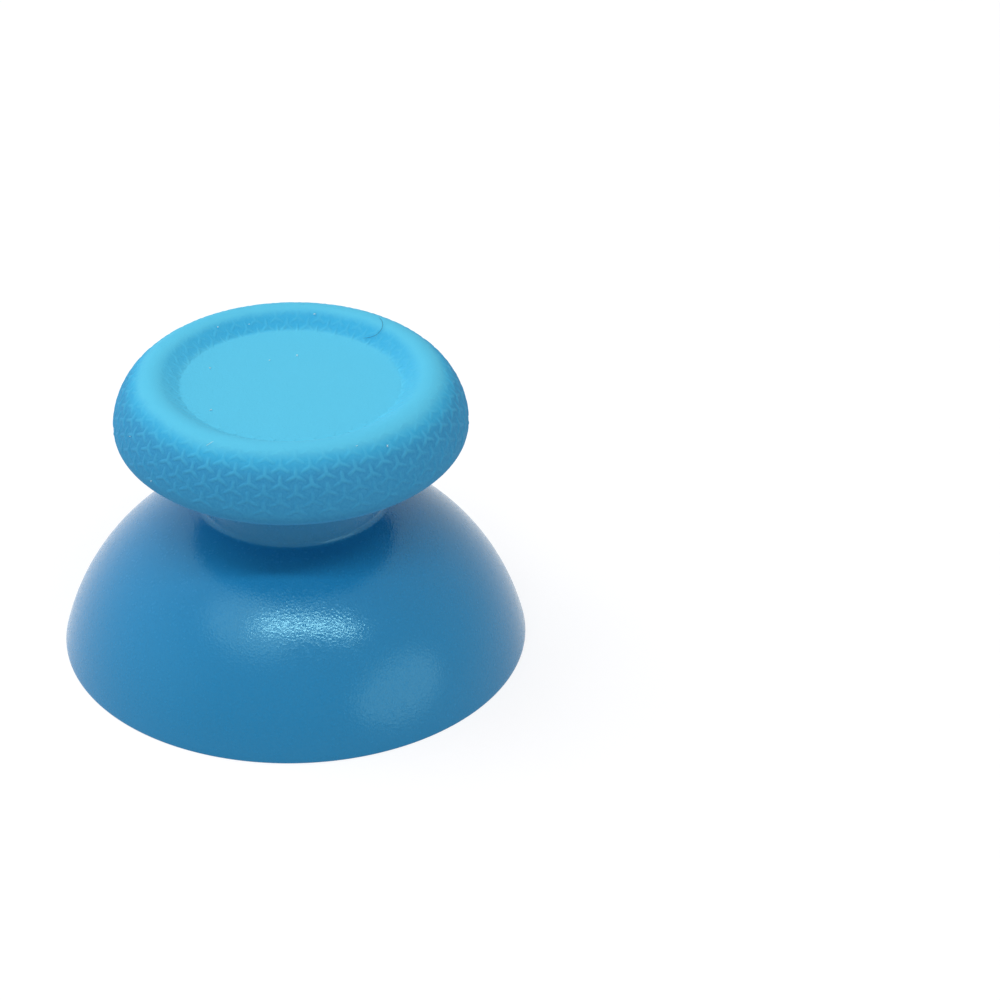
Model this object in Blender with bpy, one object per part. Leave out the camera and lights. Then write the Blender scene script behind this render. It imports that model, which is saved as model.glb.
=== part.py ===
"""Thumbstick cap of a game controller: a moulded skirt, neck and hub under a soft grip.

Units are metres and +Z is up. The origin is the centre of the skirt's rim, on the plane
that the cap stands on. Sections are lists of (radius, height) pairs, turned round the Z axis.
"""

from math import acos, asin, atan2, ceil, cos, hypot, pi, radians, sin, sqrt

import bmesh
import bpy
from mathutils import Matrix

MM = 0.001

# Skirt: a dome whose section is one arc, open underneath
SKIRT_RADIUS = 13.0 * MM        # outside, at the rim
SKIRT_CURVE = 12.5 * MM         # radius of the section's arc
RIM_LEAN = radians(13.5)        # how far the skirt leans in from upright at the rim
SKIRT_WALL = 0.80 * MM
RIM_LAND = 0.40 * MM            # flat ring that the cap stands on
RIM_CHAMFER = 0.35 * MM         # height of the slope between the land and the inside

# Neck: a tube that runs from the hub's face inside the skirt up to the grip
NECK_RADIUS = 5.13 * MM
NECK_WALL = 0.80 * MM
NECK_HEIGHT = 3.22 * MM         # from the top of the dome to the underside of the grip
NECK_FILLET = 0.40 * MM

# Hub: the neck's lower end, with the boss for the shaft held in it by four webs
HUB_STAND = 0.98 * MM           # how far the neck's end stands out of the dome's inside
HUB_FILLET = 0.25 * MM
HUB_ROUND = 0.25 * MM
BOSS_RADIUS = 3.21 * MM
BOSS_STAND = 1.07 * MM          # how far the boss stands out of the hub's face
WEB_COUNT = 4
WEB_WIDTH = 1.25 * MM
WEB_FILLET = 0.30 * MM
POCKET_ROOF = 1.90 * MM         # plastic left above the pockets between the webs

# Socket: a blind round hole with two flats, for a shaft of the same shape
SOCKET_DIAMETER = 4.24 * MM
SOCKET_FLATS = 3.36 * MM        # across the flats, which face two of the webs
SOCKET_DEPTH = 6.30 * MM
SOCKET_LEAD_IN = 0.15 * MM

# Ribs: thin plates from the hub that fade into the inside of the dome
RIB_COUNT = 8
RIB_THICKNESS = 0.60 * MM
RIB_STEP = 0.12 * MM            # the free edge starts this far above the hub's face
RIB_REACH = 10.1 * MM           # radius at which the free edge meets the dome
RIB_SWEEP = 11.9 * MM           # radius of the free edge's arc

# Grip: a soft pad with a dished top, moulded round a disc on the neck
GRIP_RADIUS = 9.70 * MM
GRIP_UNDER_REACH = 3.28 * MM    # width and height of the rounded lower flank
GRIP_UNDER_RISE = 1.63 * MM
GRIP_FLANK = 3.56 * MM          # radius of the upper flank's arc
GRIP_FLANK_SWEEP = radians(53)
CREST_ROUND = 1.20 * MM
DISH_DEPTH = 0.72 * MM
DISH_SLOPE = radians(32)
DISH_FILLET = 0.30 * MM
PAD_TOP_WALL = 0.70 * MM        # rubber above, beside and below the disc
PAD_SIDE_WALL = 1.10 * MM
PAD_UNDER_WALL = 0.85 * MM
DISC_ROUND = 0.60 * MM
BOND_GAP = 0.30 * MM            # between the moulding and the pad

# Facets
SEGMENTS = 64
ARC_STEP = radians(8)
OVERLAP = 0.30 * MM             # how far a rib or a web runs into the wall that carries it


def arc(centre, radius, start, end, step=ARC_STEP):
    """Points of an arc in a section, with both of its ends."""
    count = max(3, ceil(abs(end - start) / step))
    angles = [start + (end - start) * i / count for i in range(count + 1)]
    return [(centre[0] + radius * cos(a), centre[1] + radius * sin(a)) for a in angles]


def skirt_centre():
    """Centre of the arcs of the dome's outside and inside."""
    return SKIRT_RADIUS - SKIRT_CURVE * cos(RIM_LEAN), -SKIRT_CURVE * sin(RIM_LEAN)


def dome_height(radius, depth=0.0):
    """Height of the dome's surface, or of one that lies deeper in its wall."""
    centre_r, centre_z = skirt_centre()
    return centre_z + sqrt((SKIRT_CURVE - depth) ** 2 - (radius - centre_r) ** 2)


def heights():
    """Levels that follow from the skirt, the neck and the grip."""
    level = {"hub": dome_height(NECK_RADIUS, SKIRT_WALL) - HUB_STAND}
    level["boss"] = level["hub"] - BOSS_STAND
    level["grip_base"] = dome_height(NECK_RADIUS) + NECK_HEIGHT
    level["grip_widest"] = level["grip_base"] + GRIP_UNDER_RISE
    flank_top = level["grip_widest"] + GRIP_FLANK * sin(GRIP_FLANK_SWEEP)
    level["crest"] = flank_top + CREST_ROUND * (1 - sin(GRIP_FLANK_SWEEP))
    level["dish"] = level["crest"] - DISH_DEPTH
    level["disc_top"] = level["dish"] - PAD_TOP_WALL - BOND_GAP
    level["disc_base"] = level["grip_base"] + PAD_UNDER_WALL + BOND_GAP
    level["pocket"] = level["disc_top"] - POCKET_ROOF
    return level


def disc_edge(level, gap):
    """The disc's edge from its top to its underside, grown by a gap for the pad's groove."""
    radius = GRIP_RADIUS - PAD_SIDE_WALL - BOND_GAP
    inner = radius - DISC_ROUND
    top = arc((inner, level["disc_top"] - DISC_ROUND), DISC_ROUND + gap, pi / 2, 0, radians(30))
    base = arc((inner, level["disc_base"] + DISC_ROUND), DISC_ROUND + gap, 0, -pi / 2, radians(30))
    return top + base


def moulding_section(level):
    """Section of the hard moulding, from the disc's top round to the boss's face."""
    centre = skirt_centre()
    inside = SKIRT_CURVE - SKIRT_WALL

    section = disc_edge(level, 0.0)
    section.append((NECK_RADIUS, level["disc_base"]))

    fillet_r = NECK_RADIUS + NECK_FILLET
    fillet_z = dome_height(fillet_r, -NECK_FILLET)
    lean = atan2(fillet_z - centre[1], fillet_r - centre[0])
    section += arc((fillet_r, fillet_z), NECK_FILLET, pi, pi + lean, radians(25))
    section += arc(centre, SKIRT_CURVE, lean, RIM_LEAN)[1:]

    section.append((SKIRT_RADIUS - RIM_LAND, 0.0))
    start = asin((RIM_CHAMFER - centre[1]) / inside)
    fillet_r = NECK_RADIUS + HUB_FILLET
    fillet_z = dome_height(fillet_r, SKIRT_WALL + HUB_FILLET)
    lean = atan2(fillet_z - centre[1], fillet_r - centre[0])
    section += arc(centre, inside, start, lean)
    section += arc((fillet_r, fillet_z), HUB_FILLET, lean, pi, radians(35))[1:]

    edge = (NECK_RADIUS - HUB_ROUND, level["hub"] + HUB_ROUND)
    section += arc(edge, HUB_ROUND, 0, -pi / 2, radians(30))
    pocket_radius = NECK_RADIUS - NECK_WALL
    section.append((pocket_radius, level["hub"]))
    section.append((pocket_radius, level["pocket"]))
    section.append((BOSS_RADIUS, level["pocket"]))
    section.append((BOSS_RADIUS, level["boss"]))
    return section


def pad_section(level):
    """Section of the soft grip, from the dish's floor round to the top of its groove."""
    flank_centre = (GRIP_RADIUS - GRIP_FLANK, level["grip_widest"])
    crest_offset = GRIP_FLANK - CREST_ROUND
    crest_centre = (flank_centre[0] + crest_offset * cos(GRIP_FLANK_SWEEP),
                    flank_centre[1] + crest_offset * sin(GRIP_FLANK_SWEEP))

    # The dish's wall leaves the crest at its slope and runs into the floor by a fillet.
    slope = min(DISH_SLOPE, acos(1 - DISH_DEPTH / (CREST_ROUND + DISH_FILLET)))
    straight = (DISH_DEPTH - (CREST_ROUND + DISH_FILLET) * (1 - cos(slope))) / sin(slope)
    foot = crest_centre[0] - (CREST_ROUND + DISH_FILLET) * sin(slope) - straight * cos(slope)

    section = arc((foot, level["dish"] + DISH_FILLET), DISH_FILLET, -pi / 2, slope - pi / 2,
                  radians(15))
    section += arc(crest_centre, CREST_ROUND, pi / 2 + slope, GRIP_FLANK_SWEEP, radians(15))
    section += arc(flank_centre, GRIP_FLANK, GRIP_FLANK_SWEEP, 0, radians(10))[1:]

    under = (GRIP_RADIUS - GRIP_UNDER_REACH, level["grip_widest"])
    for across, down in arc((0, 0), 1.0, 0, pi / 2, radians(15))[1:]:
        section.append((under[0] + GRIP_UNDER_REACH * across, under[1] - GRIP_UNDER_RISE * down))

    hole = NECK_RADIUS + BOND_GAP
    section.append((hole, level["grip_base"]))
    section.append((hole, level["disc_base"] - BOND_GAP))
    section += reversed(disc_edge(level, BOND_GAP))
    return section


def web_outline():
    """Outline of one web, along +X, with fillets that flare into the boss and the neck."""
    half = WEB_WIDTH / 2
    rise = half + WEB_FILLET
    pocket_radius = NECK_RADIUS - NECK_WALL
    inner = sqrt((BOSS_RADIUS + WEB_FILLET) ** 2 - rise ** 2)
    outer = sqrt((pocket_radius - WEB_FILLET) ** 2 - rise ** 2)
    inner_end = pi + atan2(rise, inner) + radians(15)
    outer_end = atan2(rise, outer) - radians(15)

    side = arc((inner, rise), WEB_FILLET, inner_end, 1.5 * pi, radians(25))
    side += arc((outer, rise), WEB_FILLET, -pi / 2, outer_end, radians(25))
    boss_side = (side[0][0] - OVERLAP, side[0][1])
    neck_side = (side[-1][0] + OVERLAP, side[-1][1])
    upper = [boss_side] + side + [neck_side]
    return upper + [(x, -y) for x, y in reversed(upper)]


def rib_section(level):
    """Outline of one rib in the section's plane, with its root inside the dome's wall."""
    start = (NECK_RADIUS, level["hub"] + RIB_STEP)
    end = (RIB_REACH, dome_height(RIB_REACH, SKIRT_WALL))
    run, drop = end[0] - start[0], start[1] - end[1]
    chord = hypot(run, drop)
    lean = atan2(drop, run)
    half_turn = asin(chord / (2 * RIB_SWEEP))

    # The centre lies below the chord, so the free edge follows the dome's own curve.
    to_centre = RIB_SWEEP * cos(half_turn)
    centre = (start[0] + run / 2 - to_centre * sin(lean),
              start[1] - drop / 2 - to_centre * cos(lean))
    first = pi / 2 - lean + half_turn
    last = pi / 2 - lean - half_turn - OVERLAP / RIB_SWEEP
    free_edge = arc(centre, RIB_SWEEP, first, last, radians(4))

    root_start = NECK_RADIUS - OVERLAP
    tail = free_edge[-1][0]
    root = [tail + (root_start - tail) * i / 8 for i in range(9)]
    outline = [(root_start, start[1])] + free_edge
    return outline + [(r, dome_height(r, SKIRT_WALL - OVERLAP)) for r in root]


def socket_outline(grow):
    """Outline of the socket: a circle cut by two flats that face +X and -X."""
    radius = SOCKET_DIAMETER / 2 + grow
    half_angle = asin((SOCKET_FLATS / 2 + grow) / radius)
    arch = arc((0, 0), radius, pi / 2 - half_angle, pi / 2 + half_angle)
    return arch + [(-x, -y) for x, y in arch]


def finish_mesh(name, mesh_maker, material):
    """Put a finished bmesh in a new object, with its normals outward and its shading smooth."""
    bmesh.ops.recalc_face_normals(mesh_maker, faces=mesh_maker.faces)
    mesh = bpy.data.meshes.new(name)
    mesh_maker.to_mesh(mesh)
    mesh_maker.free()
    mesh.shade_smooth()
    mesh.set_sharp_from_angle(angle=radians(35))
    if material:
        mesh.materials.append(material)
    piece = bpy.data.objects.new(name, mesh)
    bpy.context.scene.collection.objects.link(piece)
    return piece


def turned_piece(name, section, material):
    """Turn a section round the Z axis, and close its two ends with flat discs."""
    bm = bmesh.new()
    points = [bm.verts.new((r, 0.0, z)) for r, z in section]
    lines = [bm.edges.new(pair) for pair in zip(points, points[1:])]
    bmesh.ops.spin(bm, geom=points + lines, cent=(0, 0, 0), axis=(0, 0, 1), angle=2 * pi,
                   steps=SEGMENTS, use_merge=True)
    bmesh.ops.remove_doubles(bm, verts=bm.verts, dist=0.001 * MM)
    open_edges = [edge for edge in bm.edges if edge.is_boundary]
    bmesh.ops.holes_fill(bm, edges=open_edges, sides=SEGMENTS)
    return finish_mesh(name, bm, material)


def add_prism(bm, outline, start, end, placing):
    """Add a prism: an XY outline drawn out between two heights, then placed by a matrix."""
    face = bm.faces.new([bm.verts.new((x, y, start)) for x, y in outline])
    drawn = bmesh.ops.extrude_face_region(bm, geom=[face], use_keep_orig=True)
    top = [item for item in drawn["geom"] if isinstance(item, bmesh.types.BMVert)]
    bmesh.ops.translate(bm, verts=top, vec=(0, 0, end - start))
    bmesh.ops.transform(bm, matrix=placing, verts=list(face.verts) + top)


def web_blanks(level):
    """The webs that hold the boss in the neck, flush with the hub's face."""
    bm = bmesh.new()
    for i in range(WEB_COUNT):
        turn = Matrix.Rotation(2 * pi * i / WEB_COUNT, 4, "Z")
        add_prism(bm, web_outline(), level["hub"], level["pocket"] + OVERLAP, turn)
    return finish_mesh("web_blanks", bm, None)


def rib_blanks(level):
    """The ribs, each a flat plate stood on edge and turned to its place round the axis."""
    bm = bmesh.new()
    upright = Matrix.Rotation(pi / 2, 4, "X")
    for i in range(RIB_COUNT):
        turn = Matrix.Rotation(2 * pi * i / RIB_COUNT, 4, "Z")
        add_prism(bm, rib_section(level), -RIB_THICKNESS / 2, RIB_THICKNESS / 2, turn @ upright)
    return finish_mesh("rib_blanks", bm, None)


def socket_cutter(level):
    """Cutter of the socket, with a sloped lead-in where it leaves the boss's face."""
    mouth = level["boss"]
    layers = [(mouth - SOCKET_LEAD_IN, 2 * SOCKET_LEAD_IN),
              (mouth + SOCKET_LEAD_IN, 0.0),
              (mouth + SOCKET_DEPTH, 0.0)]
    bm = bmesh.new()
    rings = []
    for height, grow in layers:
        rings.append([bm.verts.new((x, y, height)) for x, y in socket_outline(grow)])
    for lower, upper in zip(rings, rings[1:]):
        for i, corner in enumerate(lower):
            bm.faces.new((lower[i - 1], corner, upper[i], upper[i - 1]))
    bm.faces.new(rings[0])
    bm.faces.new(rings[-1])
    return finish_mesh("socket_cutter", bm, None)


def combine(piece, other, operation):
    """Join a blank to a piece, or cut a cutter out of it, and keep the other out of sight."""
    boolean = piece.modifiers.new(other.name, "BOOLEAN")
    boolean.operation = operation
    boolean.solver = "EXACT"
    boolean.object = other
    other.parent = piece
    other.display_type = "WIRE"
    other.hide_render = True


def plastic(name, colour, roughness):
    """A Principled material without metal."""
    material = bpy.data.materials.new(name)
    material.use_nodes = True
    shader = material.node_tree.nodes["Principled BSDF"]
    shader.inputs["Base Color"].default_value = (*colour, 1.0)
    shader.inputs["Roughness"].default_value = roughness
    shader.inputs["Metallic"].default_value = 0.0
    return material


def build():
    """Model the cap: the hard moulding, then the soft pad round its disc."""
    for old in list(bpy.data.objects):
        bpy.data.objects.remove(old, do_unlink=True)

    level = heights()
    hard_blue = plastic("hard_blue_plastic", (0.02, 0.19, 0.37), 0.38)
    soft_cyan = plastic("soft_cyan_rubber", (0.06, 0.36, 0.56), 0.80)

    moulding = turned_piece("base_moulding", moulding_section(level), hard_blue)
    combine(moulding, rib_blanks(level), "UNION")
    combine(moulding, web_blanks(level), "UNION")
    combine(moulding, socket_cutter(level), "DIFFERENCE")

    turned_piece("grip_pad", pad_section(level), soft_cyan)


if __name__ == "__main__":
    build()
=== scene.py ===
"""Thumbstick cap of a game controller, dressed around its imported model.

The hard moulding and the soft grip are turned from fine sections, a raised pattern wraps the
grip, and a little lint lies on it. Sections are lists of (radius, height) pairs in metres.
"""

import random
from math import acos, asin, atan2, ceil, cos, hypot, pi, radians, sin, sqrt, tan

import bmesh
import bpy
from bpy.props import (
    FloatProperty,
    FloatVectorProperty,
    IntProperty,
    PointerProperty,
)
from mathutils import Matrix, Quaternion, Vector


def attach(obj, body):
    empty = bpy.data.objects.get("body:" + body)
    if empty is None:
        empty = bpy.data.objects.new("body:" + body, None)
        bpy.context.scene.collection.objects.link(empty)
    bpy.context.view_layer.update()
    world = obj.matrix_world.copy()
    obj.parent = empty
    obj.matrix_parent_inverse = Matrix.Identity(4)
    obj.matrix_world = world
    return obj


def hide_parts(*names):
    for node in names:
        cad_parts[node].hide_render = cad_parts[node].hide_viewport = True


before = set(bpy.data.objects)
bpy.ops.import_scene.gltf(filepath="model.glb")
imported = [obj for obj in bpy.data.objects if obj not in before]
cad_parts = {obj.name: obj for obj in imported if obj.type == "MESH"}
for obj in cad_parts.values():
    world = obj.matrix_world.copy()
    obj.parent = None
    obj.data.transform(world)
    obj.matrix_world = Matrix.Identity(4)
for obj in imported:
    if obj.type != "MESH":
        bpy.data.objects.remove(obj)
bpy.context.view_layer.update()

bl_info = {
    "name": "Thumbstick cap",
    "version": (1, 0, 0),
    "blender": (4, 5, 0),
    "location": "3D View > Sidebar > Thumbstick cap",
    "description": "Dresses a thumbstick cap in moulded plastic and patterned rubber",
    "category": "Object",
}

MM = 0.001
WELD = 0.0005 * MM           # points that are closer than this become one
SHARP = radians(35)          # edges that bend more than this stay sharp
SINK = 0.30 * MM             # how far a blank reaches into what it is joined to
MOULDING_SIDES = 192
GRIP_SIDES = 256


# ---------------------------------------------------------------- sizes and colours


def length(name, description, millimetres):
    """A property that holds a length, given here in millimetres."""
    return FloatProperty(name=name, description=description, default=millimetres * MM,
                         unit="LENGTH", precision=5)


def angle(name, description, degrees):
    """A property that holds an angle, given here in degrees."""
    return FloatProperty(name=name, description=description, default=radians(degrees),
                         unit="ROTATION")


def count(name, description, number):
    """A property that holds a number of copies."""
    return IntProperty(name=name, description=description, default=number, min=1)


def share(name, description, value):
    """A property that holds a plain number."""
    return FloatProperty(name=name, description=description, default=value, subtype="FACTOR",
                         min=0.0, max=4.0)


def colour(name, description, value):
    """A property that holds a linear colour."""
    return FloatVectorProperty(name=name, description=description, default=value,
                               subtype="COLOR", size=3, min=0.0, max=1.0)


class MouldingSizes(bpy.types.PropertyGroup):
    """Sizes of the hard moulding."""

    skirt_radius: length("Skirt radius", "Outside of the dome at its rim", 13.0)
    skirt_curve: length("Skirt curve", "Radius of the arc of the dome's section", 12.5)
    rim_lean: angle("Rim lean", "How far the skirt leans in from upright at the rim", 13.5)
    skirt_wall: length("Skirt wall", "Thickness of the dome", 0.80)
    rim_land: length("Rim land", "Width of the flat ring that the cap stands on", 0.40)
    rim_chamfer: length("Rim chamfer", "Height of the slope inside the land", 0.35)
    neck_radius: length("Neck radius", "Outside of the neck", 5.13)
    neck_wall: length("Neck wall", "Thickness of the neck", 0.80)
    neck_height: length("Neck height", "From the dome's top to the grip's underside", 3.22)
    neck_fillet: length("Neck fillet", "Where the neck meets the dome", 0.40)
    hub_stand: length("Hub stand", "How far the neck's end stands out of the dome", 0.98)
    hub_fillet: length("Hub fillet", "Where the hub meets the dome's inside", 0.25)
    hub_round: length("Hub round", "Rounding of the hub's outer edge", 0.25)
    boss_radius: length("Boss radius", "Outside of the boss", 3.21)
    boss_stand: length("Boss stand", "How far the boss stands out of the hub's face", 1.07)
    web_count: count("Webs", "Webs that hold the boss in the neck", 4)
    web_width: length("Web width", "Width of a web", 1.25)
    web_fillet: length("Web fillet", "Where a web meets the boss and the neck", 0.30)
    pocket_roof: length("Pocket roof", "Plastic left above the pockets", 1.90)
    socket_diameter: length("Socket diameter", "Round part of the socket", 4.24)
    socket_flats: length("Socket flats", "Width across the socket's flats", 3.36)
    socket_depth: length("Socket depth", "Depth of the blind socket", 6.30)
    socket_lead_in: length("Socket lead-in", "Slope at the socket's mouth", 0.15)
    rib_count: count("Ribs", "Ribs inside the dome", 8)
    rib_thickness: length("Rib thickness", "Thickness of a rib", 0.60)
    rib_step: length("Rib step", "How far a rib's free edge starts above the hub's face", 0.12)
    rib_reach: length("Rib reach", "Radius at which a rib fades into the dome", 10.1)
    rib_sweep: length("Rib sweep", "Radius of the free edge's arc", 11.9)
    rib_root: length("Rib root", "Fillet along a rib's root", 0.16)
    edge_round: length("Edge round", "Rounding of the moulded edges", 0.07)


class GripSizes(bpy.types.PropertyGroup):
    """Sizes of the soft grip."""

    radius: length("Grip radius", "Outside of the grip at its widest line", 9.70)
    under_reach: length("Lower flank width", "Width of the rounded lower flank", 3.28)
    under_rise: length("Lower flank height", "Height of the rounded lower flank", 1.63)
    flank: length("Flank radius", "Radius of the upper flank's arc", 3.56)
    flank_sweep: angle("Flank sweep", "How far the upper flank's arc turns", 53.0)
    crest_round: length("Crest round", "Radius of the crest", 1.20)
    dish_depth: length("Dish depth", "From the crest down to the dish's floor", 0.72)
    dish_slope: angle("Dish slope", "Steepness of the dish's wall", 32.0)
    dish_fillet: length("Dish fillet", "Where the dish's wall meets its floor", 0.30)
    top_wall: length("Top wall", "Rubber above the disc", 0.70)
    side_wall: length("Side wall", "Rubber beside the disc", 1.10)
    under_wall: length("Under wall", "Rubber below the disc", 0.85)
    disc_round: length("Disc round", "Rounding of the disc inside the grip", 0.60)
    bond_gap: length("Bond gap", "Space between the disc and the rubber", 0.30)
    neck_gap: length("Neck gap", "Space between the neck and the lip of the rubber", 0.03)


class PatternSizes(bpy.types.PropertyGroup):
    """Sizes of the raised stars that wrap the grip."""

    stars: count("Stars", "Stars in one row round the grip", 35)
    flank_rows: count("Flank rows", "Rows from the crest to the widest line", 9)
    dish_rows: count("Dish rows", "Rows on the dish's wall", 4)
    pitch: length("Row pitch", "Distance between rows, along the section", 0.466)
    last_row: length("Last row", "Distance of the lowest row above the widest line", 0.332)
    turn: angle("Turn", "Where the first star of an even row stands", 5.34)
    reach: length("Plan radius", "Radius at which a star has its true width", 9.0)
    stem: length("Stem", "Length of the arm that points to the crest", 0.58)
    arm_across: length("Arm width", "How far a side arm reaches sideways", 0.56)
    arm_along: length("Arm drop", "How far a side arm reaches away from the crest", 0.33)
    ridge: length("Ridge width", "Width of an arm at its foot", 0.28)
    rise: length("Ridge height", "Height of an arm", 0.040)
    worn: share("Wear", "Share of the height that is left on the crest", 0.12)
    worn_reach: length("Worn width", "Distance from the crest at which the stars stand full", 1.9)


class Finish(bpy.types.PropertyGroup):
    """Colours of the cap."""

    plastic: colour("Plastic", "Hard blue plastic", (0.0120, 0.200, 0.434))
    # Lit and shaded copies of one rubber colour: painted light on the top, a painted half shade
    # beside the crest and painted shade on the flank.
    rubber_lit_top: colour("Rubber, top", "Handled rubber on faces that look up",
                       (0.094, 0.535, 0.775))
    rubber_half_shade: colour("Rubber, clean", "Rubber beside the crest, which dust doesn't reach",
                         (0.034, 0.405, 0.700))
    rubber_shaded: colour("Rubber, side", "Rubber on the flank", (0.024, 0.262, 0.515))
    rubber_pale: colour("Rubber, rubbed", "Rubbed rubber of the crest",
                        (0.105, 0.560, 0.790))
    # Painted light on the tops of the raised stars.
    rubber_lit_ridge: colour("Rubber, ridges", "Rubbed rubber on top of the raised stars",
                         (0.066, 0.470, 0.730))
    lint: colour("Lint", "Pale dust and fibres", (0.62, 0.90, 0.97))
    hair: colour("Hair", "Dark curled fibre", (0.008, 0.110, 0.270))


class StageSizes(bpy.types.PropertyGroup):
    """The camera, the lamps and the floor."""

    camera_x: length("Camera X", "Camera's place", 13.367)
    camera_y: length("Camera Y", "Camera's place", -173.702)
    camera_z: length("Camera Z", "Camera's height above the floor", 117.688)
    yaw: angle("Yaw", "Camera's turn to the right", -0.628)
    pitch: angle("Pitch", "Camera's tilt upward", -32.075)
    roll: angle("Roll", "Camera's roll", 0.607)
    lens: FloatProperty(name="Lens", description="Focal length on a sensor 36 mm wide",
                        default=133.2, unit="CAMERA")
    floor: length("Floor", "Width of the floor", 1600.0)
    key: share("Key lamp", "Level of the wide lamp behind the left side", 0.42)
    strip: share("Strip lamp", "Level of the long lamp above the front", 0.25)
    fill: share("Fill lamp", "Level of the low lamp at the left", 0.33)
    side: share("Side lamp", "Level of the high lamp at the right", 0.10)
    glow: share("Glow lamp", "Level of the dim lamp above the front, at the left", 0.30)
    patch: share("Patch lamp", "Level of the dim low lamp at the right", 0.32)
    sky: share("Sky", "Level of the light from all round", 0.05)
    bounce: share("Bounce", "Level of the light that the floor gives back", 0.41)


# ---------------------------------------------------------------- node trees


class Wire:
    """What one output of a node carries. A number can stand in an expression."""

    def __init__(self, board, socket):
        self.board = board
        self.socket = socket

    def calc(self, operation, *values):
        """One Math node that works on these values."""
        return self.board.node("ShaderNodeMath", {"operation": operation},
                               dict(enumerate(values)))

    def __add__(self, other):
        return self.calc("ADD", self, other)

    def __sub__(self, other):
        return self.calc("SUBTRACT", self, other)

    def __rsub__(self, other):
        return self.calc("SUBTRACT", other, self)

    def __mul__(self, other):
        return self.calc("MULTIPLY", self, other)

    def __truediv__(self, other):
        return self.calc("DIVIDE", self, other)

    def __rtruediv__(self, other):
        return self.calc("DIVIDE", other, self)

    def __mod__(self, other):
        return self.calc("FLOORED_MODULO", self, other)

    def __rmod__(self, other):
        return self.calc("FLOORED_MODULO", other, self)

    def __neg__(self):
        return self.calc("MULTIPLY", self, -1.0)

    __radd__ = __add__
    __rmul__ = __mul__

    def floor(self):
        return self.calc("FLOOR", self)

    def at_most(self, other):
        return self.calc("MINIMUM", self, other)

    def at_least(self, other):
        return self.calc("MAXIMUM", self, other)


class Board:
    """Adds nodes to one tree."""

    def __init__(self, tree):
        self.tree = tree
        tree.nodes.clear()

    def put(self, socket, value):
        """Link a wire to a socket, or set the socket's own value."""
        if isinstance(value, Wire):
            self.tree.links.new(value.socket, socket)
        else:
            socket.default_value = value

    def node(self, kind, settings=None, sockets=None, output=0):
        """Add a node: its settings first, then its sockets.

        The result is the wire of one output, or of each where output is a tuple.
        """
        node = self.tree.nodes.new(kind)
        for name, value in (settings or {}).items():
            setattr(node, name, value)
        for key, value in (sockets or {}).items():
            self.put(node.inputs[key], value)
        if isinstance(output, tuple):
            return [Wire(self, node.outputs[key]) for key in output]
        return Wire(self, node.outputs[output]) if len(node.outputs) else None

    def axes(self, vector, names):
        """Some of the parts of a vector, by the letters of their axes."""
        return self.node("ShaderNodeSeparateXYZ", None, {0: vector}, tuple(names))

    def mix(self, factor, first, second):
        """Blend two colours."""
        return self.node("ShaderNodeMix", {"data_type": "RGBA"},
                         {0: factor, 6: first, 7: second}, 2)

    def noise(self, place, scale, detail=2.0, roughness=0.5):
        """A noise between 0 and 1, at a number of cells to the metre."""
        return self.node("ShaderNodeTexNoise", {"noise_dimensions": "3D"},
                         {"Vector": place, "Scale": scale, "Detail": detail,
                          "Roughness": roughness})

    def steps(self, value, low, high):
        """A soft step from 0 to 1 between two values."""
        return self.node("ShaderNodeMapRange", {"interpolation_type": "SMOOTHSTEP"},
                         {"Value": value, "From Min": low, "From Max": high})


def background_rays(board):
    """1 for rays that see the background: from the camera, off gloss and through glass."""
    straight, mirrored, passed = board.node(
        "ShaderNodeLightPath",
        output=("Is Camera Ray", "Is Glossy Ray", "Is Transmission Ray"))
    return (straight + mirrored + passed).at_most(1.0)


# ---------------------------------------------------------------- materials


def opaque(value):
    """A property's colour with an alpha of 1."""
    return (*value, 1.0)


def material_board(name):
    """A new material, and the board of its tree."""
    material = bpy.data.materials.new(name)
    material.use_nodes = True
    return material, Board(material.node_tree)


def shaded(board, sockets):
    """Join a Principled shader to the material's output."""
    shader = board.node("ShaderNodeBsdfPrincipled", None, sockets)
    board.node("ShaderNodeOutputMaterial", None, {"Surface": shader})


def plastic_material(finish):
    """Satin blue plastic with a fine moulded grain that breaks up its highlights."""
    material, board = material_board("satin_plastic")
    place = board.node("ShaderNodeTexCoord", None, None, "Object")

    # Pits 0.13 mm apart, each with its own polish, break a highlight up into glints.
    pit, tone = board.node("ShaderNodeTexVoronoi", None,
                           {"Vector": place, "Scale": 7800.0}, ("Distance", "Color"))
    polish, = board.axes(tone, "X")
    grain = board.noise(place, 8600.0, 1.0, 0.5)
    flow = board.noise(place, 160.0, 3.0, 0.6)
    cloud = board.noise(place, 420.0, 2.0)

    base = Vector(finish.plastic)
    deep = board.mix(flow, opaque(base * 0.93), opaque(base * 1.07))
    tint = board.mix((grain - 0.5) * 0.35 + 0.5, deep,
                     opaque(base * 1.10 + Vector((0.004, 0.004, 0.004))))
    normal = board.node("ShaderNodeBump", None,
                        {"Strength": 1.0, "Distance": 0.0056 * MM,
                         "Height": pit * pit + grain * 0.30})
    shaded(board, {
        "Base Color": tint,
        "Roughness": 0.12 + cloud * 0.04 + polish * polish * 0.15,
        "IOR": 1.50,
        "Specular Tint": (0.44, 0.94, 1.0, 1.0),
        "Normal": normal,
    })
    return material


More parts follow.
